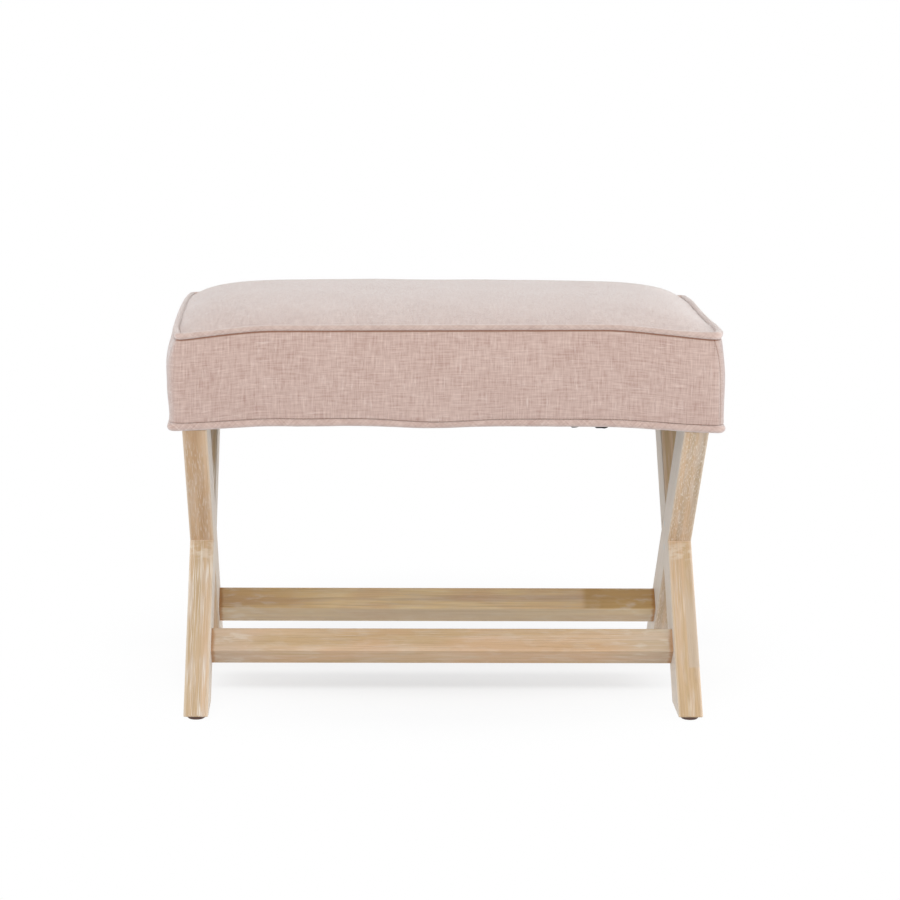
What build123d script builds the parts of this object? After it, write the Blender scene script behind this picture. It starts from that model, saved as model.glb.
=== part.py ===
from build123d import *
from math import acos, atan2, cos, degrees, hypot, pi, sin, tan
import os

# Upholstered ottoman on two half-lapped X frames, in millimetres.
# X runs along the width, +Y to the back and +Z up, from the floor under the middle of the seat.

# Legs and stretchers
foot_overhang = 14.2  # toe of a foot beyond the seat frame, front or rear
leg_width = 50.0  # seen from the side
leg_thickness = 28.0
leg_setback = 6.0  # end of the seat frame to the leg's outer face
edge_round = 1.5
stretcher_width = 30.0  # along the leg
stretcher_depth = 30.0  # across the leg
stretcher_reach = 150.0  # crossing to the stretcher's middle, along the leg

# Glides
glide_diameter = 20.0
glide_height = 4.0
glide_bevel = 1.0
glide_setback = 15.0  # toe of the foot to the middle of the glide
nail_diameter = 2.2
nail_head_diameter = 9.0
nail_head_height = 1.0
nail_cover = 1.5  # glide left under the nail's head
nail_bite = 11.0  # nail in the foot

# Seat frame
seat_underside = 345.0
frame_width = 600.0
frame_depth = 358.0
rail_height = 42.0
rail_thickness = 20.0
deck_thickness = 12.0
corner_block_size = 30.0
corner_block_lift = 3.0  # underside of the rails to the block

# Padding and cover
cloth = 1.5
side_padding = 6.0
top_padding = 6.0
ply_gap = 0.2  # between one layer of the seat and the next
boxing_rise = 102.0  # underside of the rails to the top seam, mid front
top_inset = 5.5  # the boxing leans in to its top seam
side_bulge = 4.5
bulge_rise = 50.0  # underside of the rails to the fullest part of the boxing
boxing_corner = 8.0
crown = 24.0  # top seam to the highest point, mid seat
crown_edge = 3.0  # top seam to the crown at the two ends
crown_power = 7  # how flat the crown stays towards the ends
crown_steps = 6  # sections from the middle to an end
corner_droop = 10.0  # the top seam dips to each corner
droop_start = 100.0  # from the end of the top to where the dip starts
droop_end = 28.0  # from the end of the top to where the dip levels out
droop_bend = 180.0
hem_width = 22.0  # cover turned under the rails
cord_diameter = 8.0
cord_fit = 0.1
cord_corner = 8.0
cord_tuck = 1.5  # face of the boxing to the middle of the bottom cord
dust_cover_thickness = 0.6
dust_cover_margin = 6.0  # edge of the frame to the edge of the dust cover
leg_clear = 3.0  # cut-outs in cloth round the leg tops

# Fasteners
dowel_diameter = 8.0
dowel_length = 38.0
dowel_bite = 16.0  # dowel in the leg
dowel_pitch = 15.0
dowel_bevel = 1.0
screw_diameter = 4.0
screw_head_diameter = 8.0
screw_point = 5.0
lap_screw_length = 24.0
lap_screw_pitch = 28.0
block_screw_length = 42.0
block_screw_low = 8.0  # underside of the rails to the screw in the end rail
block_screw_high = 28.0  # underside of the rails to the screw in the long rail
rail_screw_length = 60.0
rail_screw_pitch = 18.0
deck_screw_length = 40.0
deck_screw_margin = 20.0  # end rail to the nearest deck screw in a long rail
deck_screws_per_rail = 4
deck_end_pitch = 120.0
lag_diameter = 8.0
lag_point = 2.0
lag_head_width = 13.0
lag_head_height = 5.5
lag_bite = 45.0  # lag bolt in the leg
lag_recess = 9.0
lag_clear = 0.5
lag_edge = 15.0  # inner edge of the leg's top to the lag bolt
washer_diameter = 20.0
washer_thickness = 1.6
leg_dowel_diameter = 10.0
leg_dowel_bite = 14.0  # dowel in the leg's top
leg_dowel_length = 34.0
frame_dowel_length = 34.0
frame_dowel_bite = 14.0  # dowel in the long rail
frame_dowel_pitch = 22.0
staple_width = 10.0
staple_wire = 1.2
staple_crown = 0.6
staple_leg = 8.0
staple_inset = 5.0
staple_pitch = 50.0

# Places worked out from the sizes above
half_height = (seat_underside - glide_height) / 2
crossing = glide_height + half_height
toe = frame_depth / 2 + foot_overhang
lean = acos(leg_width / 2 / hypot(toe, half_height)) - atan2(half_height, toe)  # from upright
leg_run = half_height * tan(lean)  # crossing to the middle of the foot, front to back
leg_slice = leg_width / 2 / cos(lean)  # half the leg's level section
leg_outer = frame_width / 2 - leg_setback
leg_inner = leg_outer - leg_thickness
leg_middle = leg_outer - leg_thickness / 2
glide_place = toe - glide_setback
end_rail_width = leg_thickness + 2 * leg_setback
rail_top = seat_underside + rail_height
deck_top = rail_top + deck_thickness
long_rail_middle = (frame_depth - rail_thickness) / 2
end_rail_middle = (frame_width - end_rail_width) / 2
inside_width = frame_width - 2 * end_rail_width
inside_depth = frame_depth - 2 * rail_thickness
lag_place = leg_run - leg_slice + lag_edge
cover_half_width = frame_width / 2 + side_padding + cloth
cover_half_depth = frame_depth / 2 + side_padding + cloth
top_half_width = cover_half_width - top_inset
top_half_depth = cover_half_depth - top_inset
seam_middle = seat_underside + boxing_rise
seam_corner = seam_middle - corner_droop
crest_middle = seam_middle + crown
hem_bottom = seat_underside - cloth
dust_cover_bottom = hem_bottom - dust_cover_thickness
cord_radius = cord_diameter / 2
bottom_cord_height = hem_bottom - cord_radius - cord_fit
notch_start = leg_run - leg_slice - leg_clear
notch_end = frame_depth / 2 + leg_clear
beyond = 2 * frame_width  # reach of cutting solids

ENDS = {"left": -1, "right": 1}
ROWS = {"front": -1, "rear": 1}
CORNERS = [(side, row) for side in ENDS.values() for row in ROWS.values()]
PAIR = (-0.5, 0.5)  # two fasteners, half their pitch either side of a middle

os.makedirs("parts", exist_ok=True)


def save(piece, name):
    piece.label = name
    export_step(piece, f"parts/{name}.step")


def wood_screw(length):
    """Countersunk screw pointing down, with the face of its head at the origin."""
    shank = screw_diameter / 2
    head = screw_head_diameter / 2
    profile = [(0, 0), (head, 0), (shank, shank - head), (shank, screw_point - length), (0, -length)]
    with BuildPart() as screw:
        with BuildSketch(Plane.XZ):
            with BuildLine():
                Polyline(*profile, close=True)
            make_face()
        revolve(axis=Axis.Z)
    return screw.part


# Fasteners of the base
with BuildPart() as stretcher_dowels:
    for side, row in CORNERS:
        for step in PAIR:
            reach = stretcher_reach + step * dowel_pitch
            middle = leg_inner + dowel_bite - dowel_length / 2
            with Locations((side * middle, row * reach * sin(lean), crossing - reach * cos(lean))):
                Cylinder(dowel_diameter / 2, dowel_length, rotation=(0, 90, 0))
    chamfer(stretcher_dowels.edges().filter_by(GeomType.CIRCLE), length=dowel_bevel)
save(stretcher_dowels.part, "stretcher_dowels")

with BuildPart() as lap_screws:
    for side in ENDS.values():
        for step in PAIR:
            height = crossing + step * lap_screw_pitch
            with Locations(Location((side * leg_inner, 0, height), (0, -90 * side, 0))):
                add(wood_screw(lap_screw_length))
save(lap_screws.part, "lap_screws")

with BuildPart() as leg_dowels:
    with BuildSketch(Plane.XY.offset(seat_underside - leg_dowel_bite)):
        with GridLocations(2 * leg_middle, 2 * long_rail_middle, 2, 2):
            Circle(leg_dowel_diameter / 2)
    extrude(amount=leg_dowel_length)
    chamfer(leg_dowels.edges().filter_by(GeomType.CIRCLE), length=dowel_bevel)
save(leg_dowels.part, "leg_dowels")

lag_seat = rail_top - lag_recess
with BuildPart() as leg_washers:
    with BuildSketch(Plane.XY.offset(lag_seat)):
        with GridLocations(2 * leg_middle, 2 * lag_place, 2, 2):
            Circle(washer_diameter / 2)
            Circle(lag_diameter / 2 + lag_clear, mode=Mode.SUBTRACT)
    extrude(amount=washer_thickness)
save(leg_washers.part, "leg_washers")

lag_head = lag_seat + washer_thickness
with BuildPart() as leg_bolts:
    with BuildSketch(Plane.XY.offset(lag_head)):
        with GridLocations(2 * leg_middle, 2 * lag_place, 2, 2):
            RegularPolygon(lag_head_width / 2, 6, major_radius=False)
    extrude(amount=lag_head_height)
    with BuildSketch(Plane.XY.offset(lag_head)):
        with GridLocations(2 * leg_middle, 2 * lag_place, 2, 2):
            Circle(lag_diameter / 2)
    extrude(amount=seat_underside - lag_bite - lag_head)
    chamfer(leg_bolts.edges().group_by(Axis.Z)[0], length=lag_point)
save(leg_bolts.part, "leg_bolts")

with BuildPart() as glide_nails:
    with BuildSketch(Plane.XY.offset(nail_cover)):
        with GridLocations(2 * leg_middle, 2 * glide_place, 2, 2):
            Circle(nail_head_diameter / 2)
    extrude(amount=nail_head_height)
    with BuildSketch(Plane.XY.offset(nail_cover)):
        with GridLocations(2 * leg_middle, 2 * glide_place, 2, 2):
            Circle(nail_diameter / 2)
    extrude(amount=glide_height + nail_bite - nail_cover)
save(glide_nails.part, "glide_nails")


def leg_outline(foot):
    """Side view of a leg that stands at the front (-1) or the rear (1), cut level at both ends."""
    return [
        (foot * toe, glide_height),
        (foot * (leg_run - leg_slice), glide_height),
        (-foot * toe, seat_underside),
        (foot * (leg_slice - leg_run), seat_underside),
    ]


def leg(side, foot):
    """One leg of an X frame: the front-footed leg laps over the outside of the rear-footed one."""
    lap_face = leg_inner if foot < 0 else leg_middle
    grain = Axis((0, 0, crossing), (0, foot * sin(lean), -cos(lean)))
    with BuildPart() as bar:
        with BuildSketch(Plane.YZ.offset(side * leg_inner)):
            with BuildLine():
                Polyline(*leg_outline(foot), close=True)
            make_face()
        extrude(amount=side * leg_thickness)
        sole = bar.faces().sort_by(Axis.Z)[0]
        fillet(bar.edges().filter_by(grain) + sole.edges(), radius=edge_round)
        with BuildSketch(Plane.YZ.offset(side * lap_face)):
            with BuildLine():
                Polyline(*leg_outline(-foot), close=True)
            make_face()
        extrude(amount=side * leg_thickness / 2, mode=Mode.SUBTRACT)
        with BuildSketch(Plane.YZ.offset(side * leg_inner)):
            with Locations((-foot * (frame_depth + leg_width) / 2, seat_underside)):
                Rectangle(leg_width, 2 * half_height)
        extrude(amount=side * leg_thickness, mode=Mode.SUBTRACT)
        for fastener in (stretcher_dowels, lap_screws, leg_dowels, leg_bolts, glide_nails):
            add(fastener.part, mode=Mode.SUBTRACT)
    return bar.part


for end, side in ENDS.items():
    for row_name, row in ROWS.items():
        save(leg(side, row), f"{end}_leg_{row_name}_foot")

for row_name, row in ROWS.items():
    with BuildPart() as stretcher:
        with BuildSketch(Plane.YZ.offset(-leg_inner)):
            with Locations((row * stretcher_reach * sin(lean), crossing - stretcher_reach * cos(lean))):
                Rectangle(stretcher_width, stretcher_depth, rotation=row * (degrees(lean) - 90))
        extrude(amount=2 * leg_inner)
        fillet(stretcher.edges().filter_by(Axis.X), radius=edge_round)
        add(stretcher_dowels.part, mode=Mode.SUBTRACT)
    save(stretcher.part, f"{row_name}_stretcher")

for end, side in ENDS.items():
    for row_name, row in ROWS.items():
        with BuildPart() as glide:
            with BuildSketch():
                with Locations((side * leg_middle, row * glide_place)):
                    Circle(glide_diameter / 2)
            extrude(amount=glide_height)
            chamfer(glide.faces().sort_by(Axis.Z)[0].edges(), length=glide_bevel)
            add(glide_nails.part, mode=Mode.SUBTRACT)
        save(glide.part, f"{end}_{row_name}_glide")

# Fasteners of the seat frame
with BuildPart() as frame_dowels:
    for side, row in CORNERS:
        for step in PAIR:
            joint = inside_depth / 2 + frame_dowel_bite - frame_dowel_length / 2
            place = end_rail_middle + step * frame_dowel_pitch
            with Locations((side * place, row * joint, seat_underside + rail_height / 2)):
                Cylinder(dowel_diameter / 2, frame_dowel_length, rotation=(90, 0, 0))
    chamfer(frame_dowels.edges().filter_by(GeomType.CIRCLE), length=dowel_bevel)
save(frame_dowels.part, "frame_dowels")

with BuildPart() as corner_block_screws:
    for side, row in CORNERS:
        face_x = side * (inside_width / 2 - corner_block_size)
        face_y = row * (inside_depth / 2 - corner_block_size)
        middle_x = face_x + side * corner_block_size / 2
        middle_y = face_y + row * corner_block_size / 2
        to_long_rail = Location((middle_x, face_y, seat_underside + block_screw_high), (90 * row, 0, 0))
        to_end_rail = Location((face_x, middle_y, seat_underside + block_screw_low), (0, -90 * side, 0))
        with Locations(to_long_rail, to_end_rail):
            add(wood_screw(block_screw_length))
save(corner_block_screws.part, "corner_block_screws")

with BuildPart() as centre_rail_screws:
    for row in ROWS.values():
        for step in PAIR:
            height = seat_underside + rail_height / 2 + step * rail_screw_pitch
            with Locations(Location((0, row * frame_depth / 2, height), (-90 * row, 0, 0))):
                add(wood_screw(rail_screw_length))
save(centre_rail_screws.part, "centre_rail_screws")

deck_screw_pitch = (inside_width - 2 * deck_screw_margin) / (deck_screws_per_rail - 1)
with BuildPart() as deck_screws:
    with Locations((0, 0, deck_top)):
        with GridLocations(deck_screw_pitch, 2 * long_rail_middle, deck_screws_per_rail, 2):
            add(wood_screw(deck_screw_length))
        with GridLocations(end_rail_middle, deck_end_pitch, 3, 2):
            add(wood_screw(deck_screw_length))
save(deck_screws.part, "deck_screws")


def staple():
    """Wide-crown staple driven upwards, with the underside of its crown at the origin."""
    with BuildPart() as wire:
        with BuildSketch():
            Rectangle(staple_width, staple_wire)
        extrude(amount=staple_crown)
        with BuildSketch():
            with GridLocations(staple_width - staple_crown, 0, 2, 1):
                Rectangle(staple_crown, staple_wire)
        extrude(amount=staple_leg)
    return wire.part


dust_half_width = frame_width / 2 - dust_cover_margin
dust_half_depth = frame_depth / 2 - dust_cover_margin
with BuildPart() as dust_cover_staples:
    with Locations((0, 0, dust_cover_bottom - staple_crown)):
        long_staples = int((2 * (leg_inner - leg_clear) - staple_width) // staple_pitch)
        with GridLocations(staple_pitch, 2 * (dust_half_depth - staple_inset), long_staples, 2):
            add(staple())
        end_staples = int((2 * notch_start - staple_width) // staple_pitch)
        with GridLocations(2 * (dust_half_width - staple_inset), staple_pitch, 2, end_staples):
            add(staple(), rotation=(0, 0, 90))
save(dust_cover_staples.part, "dust_cover_staples")

# Seat frame
for row_name, row in ROWS.items():
    with BuildPart() as long_rail:
        with BuildSketch(Plane.XY.offset(seat_underside)):
            with Locations((0, row * long_rail_middle)):
                Rectangle(frame_width, rail_thickness)
        extrude(amount=rail_height)
        for fastener in (leg_dowels, frame_dowels, corner_block_screws, centre_rail_screws):
            add(fastener.part, mode=Mode.SUBTRACT)
        for fastener in (deck_screws, dust_cover_staples):
            add(fastener.part, mode=Mode.SUBTRACT)
    save(long_rail.part, f"{row_name}_rail")

for end, side in ENDS.items():
    with BuildPart() as end_rail:
        with BuildSketch(Plane.XY.offset(seat_underside)):
            with Locations((side * end_rail_middle, 0)):
                Rectangle(end_rail_width, inside_depth)
        extrude(amount=rail_height)
        with Locations(*[(side * leg_middle, row * lag_place, rail_top) for row in ROWS.values()]):
            CounterBoreHole(lag_diameter / 2 + lag_clear, washer_diameter / 2 + lag_clear, lag_recess)
        for fastener in (frame_dowels, corner_block_screws, deck_screws, dust_cover_staples):
            add(fastener.part, mode=Mode.SUBTRACT)
    save(end_rail.part, f"{end}_rail")

with BuildPart() as centre_rail:
    with BuildSketch(Plane.XY.offset(seat_underside)):
        Rectangle(rail_thickness, inside_depth)
    extrude(amount=rail_height)
    for fastener in (centre_rail_screws, deck_screws):
        add(fastener.part, mode=Mode.SUBTRACT)
save(centre_rail.part, "centre_rail")

with BuildPart() as corner_blocks:
    block_spread = [inside_width - corner_block_size, inside_depth - corner_block_size]
    with BuildSketch(Plane.XY.offset(seat_underside + corner_block_lift)):
        with GridLocations(*block_spread, 2, 2):
            Rectangle(corner_block_size, corner_block_size)
    extrude(amount=rail_height - corner_block_lift)
    add(corner_block_screws.part, mode=Mode.SUBTRACT)
save(corner_blocks.part, "corner_blocks")

with BuildPart() as seat_deck:
    with BuildSketch(Plane.XY.offset(rail_top)):
        Rectangle(frame_width, frame_depth)
    extrude(amount=deck_thickness)
    add(deck_screws.part, mode=Mode.SUBTRACT)
save(seat_deck.part, "seat_deck")


# Padding and cover
def bulged_outline(half, low):
    """Upright section of the seat: it swells out above the underside and leans in to the top seam."""
    top = half - top_inset
    fullest = seat_underside + bulge_rise
    ThreePointArc((half, low), (half + side_bulge, fullest), (top, seam_middle))
    Line((top, seam_middle), (-top, seam_middle))
    ThreePointArc((-top, seam_middle), (-half - side_bulge, fullest), (-half, low))
    Line((-half, low), (half, low))


def padded_block(inset, low):
    """Seat below the top seam, drawn in by inset on its four sides."""
    with BuildPart() as block:
        with BuildSketch(Plane.XZ):
            with BuildLine():
                bulged_outline(cover_half_width - inset, low)
            make_face()
        extrude(amount=beyond, both=True)
        with BuildSketch(Plane.YZ):
            with BuildLine():
                bulged_outline(cover_half_depth - inset, low)
            make_face()
        extrude(amount=beyond, both=True, mode=Mode.INTERSECT)
        upright = [edge for edge in block.edges() if edge.bounding_box().size.Z > boxing_rise / 2]
        fillet(upright, radius=boxing_corner - inset)
    return block.part


def below_seam():
    """Everything under the top seam, which runs level at mid front and dips to the corners."""
    start = top_half_width - droop_start
    end = top_half_width - droop_end
    with BuildPart() as space:
        with BuildSketch(Plane.XZ):
            with BuildLine():
                FilletPolyline(
                    (-beyond, seam_corner),
                    (-end, seam_corner),
                    (-start, seam_middle),
                    (start, seam_middle),
                    (end, seam_corner),
                    (beyond, seam_corner),
                    radius=droop_bend,
                )
                Polyline((beyond, seam_corner), (beyond, 0), (-beyond, 0), (-beyond, seam_corner))
            make_face()
        extrude(amount=beyond, both=True)
    return space.part


def seam_height(x):
    dip = (abs(x) - top_half_width + droop_start) / (droop_start - droop_end)
    return seam_middle - corner_droop * min(max(dip, 0), 1)


def crowned_top(inset, low):
    """Crown of the seat, drawn in by inset: arched front to back and flat along the middle."""
    half_width = top_half_width - inset
    half_depth = top_half_depth - inset
    with BuildPart() as dome:
        for step in range(-crown_steps, crown_steps + 1):
            share = sin(step / crown_steps * pi / 2)
            rim = seam_height(top_half_width * share) - inset
            end_crest = seam_corner + crown_edge
            crest = crest_middle - (crest_middle - end_crest) * abs(share) ** crown_power - inset
            with BuildSketch(Plane.YZ.offset(half_width * share)):
                with BuildLine():
                    ThreePointArc((-half_depth, rim), (0, crest), (half_depth, rim))
                    Polyline((half_depth, rim), (half_depth, low), (-half_depth, low), (-half_depth, rim))
                make_face()
        loft()
    return dome.part


def top_cord(radius):
    """Cord round the top seam."""
    start = top_half_width - droop_start
    end = top_half_width - droop_end
    with BuildPart() as loop:
        with BuildLine():
            FilletPolyline(
                (0, -top_half_depth, seam_middle),
                (start, -top_half_depth, seam_middle),
                (end, -top_half_depth, seam_corner),
                (top_half_width, -top_half_depth, seam_corner),
                (top_half_width, 0, seam_corner),
                radius=[droop_bend, droop_bend, cord_corner],
            )
        with BuildSketch(Plane((0, -top_half_depth, seam_middle), x_dir=(0, 1, 0), z_dir=(1, 0, 0))):
            Circle(radius)
        sweep()
        mirror(about=Plane.YZ)
        mirror(about=Plane.XZ)
    return loop.part


def bottom_cord(radius):
    """Cord round the bottom edge, under the corner where the boxing turns into its hem."""
    half_width = cover_half_width - cord_tuck
    half_depth = cover_half_depth - cord_tuck
    with BuildPart() as loop:
        with BuildLine():
            FilletPolyline(
                (0, -half_depth, bottom_cord_height),
                (half_width, -half_depth, bottom_cord_height),
                (half_width, 0, bottom_cord_height),
                radius=cord_corner,
            )
        with BuildSketch(Plane((0, -half_depth, bottom_cord_height), x_dir=(0, 1, 0), z_dir=(1, 0, 0))):
            Circle(radius)
        sweep()
        mirror(about=Plane.YZ)
        mirror(about=Plane.XZ)
    return loop.part


def leg_notches(mode):
    """Places in the hems and the dust cover that are cut out round the leg tops."""
    with GridLocations(2 * leg_middle, notch_start + notch_end, 2, 2):
        Rectangle(leg_thickness + 2 * leg_clear, notch_end - notch_start, mode=mode)


top_cord_groove = top_cord(cord_radius + cord_fit)
under_seam = below_seam()
padding_block = padded_block(cloth + ply_gap, seat_underside)
padding_crown = crowned_top(cloth + ply_gap, deck_top)
padding_hollow = crowned_top(cloth + top_padding + ply_gap, deck_top)

top_welt = top_cord(cord_radius)
save(top_welt, "top_welt")

bottom_welt = bottom_cord(cord_radius)
save(bottom_welt, "bottom_welt")

foam_pad = crowned_top(cloth + top_padding + 2 * ply_gap, deck_top)
save(foam_pad, "foam_pad")

with BuildPart() as batting:
    add(padding_block)
    add(under_seam, mode=Mode.INTERSECT)
    add(padding_crown)
    with BuildSketch(Plane.XY.offset(seat_underside)):
        Rectangle(frame_width, frame_depth)
    extrude(amount=deck_top - seat_underside, mode=Mode.SUBTRACT)
    add(padding_hollow, mode=Mode.SUBTRACT)
    add(top_cord_groove, mode=Mode.SUBTRACT)
save(batting.part, "batting")

crown_face = crowned_top(0, deck_top)
crown_lining = crowned_top(cloth, deck_top)
with BuildPart() as cover_top:
    add(crown_face)
    add(crown_lining, mode=Mode.SUBTRACT)
    add(under_seam, mode=Mode.SUBTRACT)
    add(top_cord_groove, mode=Mode.SUBTRACT)
save(cover_top.part, "cover_top")

boxing_face = padded_block(0, hem_bottom)
boxing_lining = padded_block(cloth, seat_underside)
with BuildPart() as boxing:
    add(boxing_face)
    add(boxing_lining, mode=Mode.SUBTRACT)
    add(under_seam, mode=Mode.INTERSECT)
    with BuildSketch(Plane.XY.offset(hem_bottom)):
        Rectangle(frame_width - 2 * hem_width, frame_depth - 2 * hem_width)
        leg_notches(Mode.ADD)
    extrude(amount=cloth, mode=Mode.SUBTRACT)
    add(top_cord_groove, mode=Mode.SUBTRACT)
    add(dust_cover_staples.part, mode=Mode.SUBTRACT)

corner = (cover_half_width + cover_half_depth, 2 * cover_half_depth)
ridge = cover_half_width - cover_half_depth
wedges = {
    "front": [(-corner[0], -corner[1]), (corner[0], -corner[1]), (ridge, 0), (-ridge, 0)],
    "rear": [(-corner[0], corner[1]), (-ridge, 0), (ridge, 0), (corner[0], corner[1])],
    "left": [(-corner[0], -corner[1]), (-ridge, 0), (-corner[0], corner[1])],
    "right": [(corner[0], -corner[1]), (corner[0], corner[1]), (ridge, 0)],
}
for panel_name, wedge in wedges.items():
    with BuildPart() as panel:
        add(boxing.part)
        with BuildSketch():
            with BuildLine():
                Polyline(*wedge, close=True)
            make_face()
        extrude(amount=seam_middle, mode=Mode.INTERSECT)
    save(panel.part, f"{panel_name}_boxing")

with BuildPart() as dust_cover:
    with BuildSketch(Plane.XY.offset(dust_cover_bottom)):
        Rectangle(2 * dust_half_width, 2 * dust_half_depth)
        leg_notches(Mode.SUBTRACT)
    extrude(amount=dust_cover_thickness)
    add(dust_cover_staples.part, mode=Mode.SUBTRACT)
save(dust_cover.part, "dust_cover")
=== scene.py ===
from math import copysign, cos, exp, hypot, pi, radians, sin, sqrt

import bmesh
import bpy
from mathutils import Matrix, Vector, noise


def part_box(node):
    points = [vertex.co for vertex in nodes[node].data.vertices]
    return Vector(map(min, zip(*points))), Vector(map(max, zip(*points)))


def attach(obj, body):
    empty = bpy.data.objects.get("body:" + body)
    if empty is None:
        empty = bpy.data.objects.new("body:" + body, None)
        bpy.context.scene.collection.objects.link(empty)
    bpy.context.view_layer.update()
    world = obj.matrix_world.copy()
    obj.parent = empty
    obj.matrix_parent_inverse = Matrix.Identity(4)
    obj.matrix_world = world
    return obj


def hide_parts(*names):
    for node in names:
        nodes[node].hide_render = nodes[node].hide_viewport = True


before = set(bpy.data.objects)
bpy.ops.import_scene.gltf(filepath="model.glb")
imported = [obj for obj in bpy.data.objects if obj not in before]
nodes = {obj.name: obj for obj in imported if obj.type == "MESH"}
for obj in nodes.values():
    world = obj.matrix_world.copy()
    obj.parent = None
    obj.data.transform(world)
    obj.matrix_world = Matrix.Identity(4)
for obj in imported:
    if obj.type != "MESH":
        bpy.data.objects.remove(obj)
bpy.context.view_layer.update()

# Lengths are in metres. x runs to the right, y to the rear and z up from the floor.
# An end is -1 at the left and 1 at the right. A row is -1 at the front and 1 at the rear.

# Camera of the photograph
camera_place = Vector((-0.1029, -3.3768, 0.8976))
camera_pitch = 10.42  # degrees down from level
camera_yaw = 1.919  # degrees to the right
camera_roll = 0.569  # degrees
camera_lens = 116.62  # mm
camera_sensor = 36  # mm

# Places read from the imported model
bottom_low, bottom_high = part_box("bottom_welt")
top_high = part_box("top_welt")[1]
welt_radius = (bottom_high.z - bottom_low.z) / 2
seam_half = Vector((top_high.x - welt_radius, top_high.y - welt_radius))  # half the plan of the top seam
edge_half = Vector((bottom_high.x - welt_radius, bottom_high.y - welt_radius))  # and of the bottom cord
seam_lift = 0.0005  # of the top seam above the middle of the CAD's welt
seam_middle = top_high.z - welt_radius + seam_lift
crest_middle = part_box("cover_top")[1].z
edge_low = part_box("front_boxing")[0].z
deck_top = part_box("seat_deck")[1].z
leg_low, leg_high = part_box("right_leg_front_foot")
lap_height = (leg_low.z + leg_high.z) / 2
leg_top_depth = 0.0542  # level section of a leg, front to back
leg_top_outer = leg_high.y
leg_top_inner = leg_top_outer - leg_top_depth
bar_low, bar_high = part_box("front_stretcher")
bar_middle = (bar_low.z + bar_high.z) / 2

# Top seam. Each dip to a corner, by end and row: where along x it starts and ends, and its depth
corner_dips = {
    (-1, -1): (0.190, 0.315, 0.0095),
    (1, -1): (0.170, 0.305, 0.0102),
    (-1, 1): (0.165, 0.315, 0.0125),
    (1, 1): (0.170, 0.300, 0.0130),
}
end_arch = {-1: 0.0075, 1: 0.0012}  # rise of the seam along each end
end_arch_blend = 0.02  # from an end to where its arch no longer lifts the front and rear seams
right_bump = 0.0018  # more rise of the right end, towards the rear
right_bump_place = 0.110
right_bump_reach = 0.058
seam_tilt = 0.008  # slope of the front seam, up to the right
corner_short = 0.0035  # the front left corner is sewn this much short
end_out = 0.0009  # the right end of the seam stands out, more so behind its front corner
end_out_more = 0.0026
end_out_place = 0.135
end_out_reach = 0.055
corner_pull = 0.0030  # the front right corner itself is drawn in
corner_pull_reach = 0.025
shift_blend = 0.04  # from an end or the front to where these shifts have died out
seam_corner_radius = 0.005
seam_sink = 0.0015  # edge of the top panel under the middle of the cord

# Crown of the top panel
crown_along = 11  # how square the crown is, towards the ends and towards front and rear
crown_across = 2.8
crown_fall = 0.0022  # from the middle to the ends
right_tuck = 0.0032  # the top panel is drawn down beside the cord of the right end
right_tuck_reach = 0.008
swell = 0.0006  # what the filling adds to the crown

# Boxing. A share of its depth is 0 at the top seam and 1 at the bottom edge
edge_tuck = 0.0028  # face of the boxing outside the middle of the bottom cord
edge_reach = edge_half.x + edge_tuck - seam_half.x
belly_rise = 0.7  # below 1 the boxing is fullest above its middle
belly_round = 0.8
belly_lean = 0.4  # share of its lean that the boxing has where it is fullest
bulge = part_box("right_boxing")[1].x - seam_half.x - belly_lean * edge_reach
corner_slack = 0.30  # how much less the boxing bulges at its corners
corner_reach = 0.035
left_humps = ((0.30, 0.20, 0.0022), (0.85, 0.12, -0.0018))  # place, reach and height, on the left end
right_flare = 0.0014  # the right end stands out at its bottom edge
flare_start = 0.7  # share of the depth
flare_blend = 0.03
groove = 0.0014  # under the top cord
edge_groove = 0.0003  # above the bottom cord
groove_width = 0.0013
upright_low = {-1: 0.3030, 1: 0.3048}  # upright seams at the bottom edge, from the middle of the seat
upright_swing = {-1: 0.0035, 1: 0.0105}  # how much further in they start at the top seam
upright_settle = 0.20  # share of the depth in which most of the swing is over
panel_shift = Vector((0.173, 0.311))  # cloth of the next panel, so that threads don't match

# Bottom edge of the boxing
edge_rise = 0.0027  # above the CAD's edge
edge_dips = ((-0.014, 0.052, 0.0038), (-0.160, 0.035, 0.0010))  # place, reach and depth of its waves
edge_drop = 0.0068  # to the corners
edge_drop_run = (0.170, 0.315)  # where along x the drop starts and ends
edge_arch = 0.0040  # back up along the ends

# Cords in the seams
cord_grid = (760, 14)  # faces along a cord and round it
top_cord_radius = 0.0034
end_cord_radius = 0.0039  # along the ends
end_cord_blend = 0.05
corner_bulk = 0.0006  # of the seam allowance in the front right corner
corner_bulk_reach = 0.05
bottom_cord_radius = 0.0045
bottom_cord_thin = 0.0008  # less at mid front and rear
bottom_cord_thin_reach = 0.06
cord_uneven = 0.04  # share of the radius
cord_uneven_size = 0.02
cord_shadow = 0.0003  # edge of a cord to the painted shade line beside it
edge_faint = 0.0005  # added to the gap at the bottom seam, whose painted shade line is fainter

# Rings of the cover, measured from the line under the top cord and from the bottom edge
cover_grid = (96, 60)  # faces of the top panel
grid_crowding = 0.7  # 0 spaces the grid evenly
near_seam = (-0.0017, -0.0008, 0.0, 0.0008, 0.0026, 0.0066)
middle_rings = 6
near_edge = (0.0100, 0.0050, 0.0022, 0.0008, 0.0)
cover_rings = len(near_seam) + middle_rings + len(near_edge)
held_at_seam = 5  # rings that the filling doesn't move
held_at_edge = 3

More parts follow.
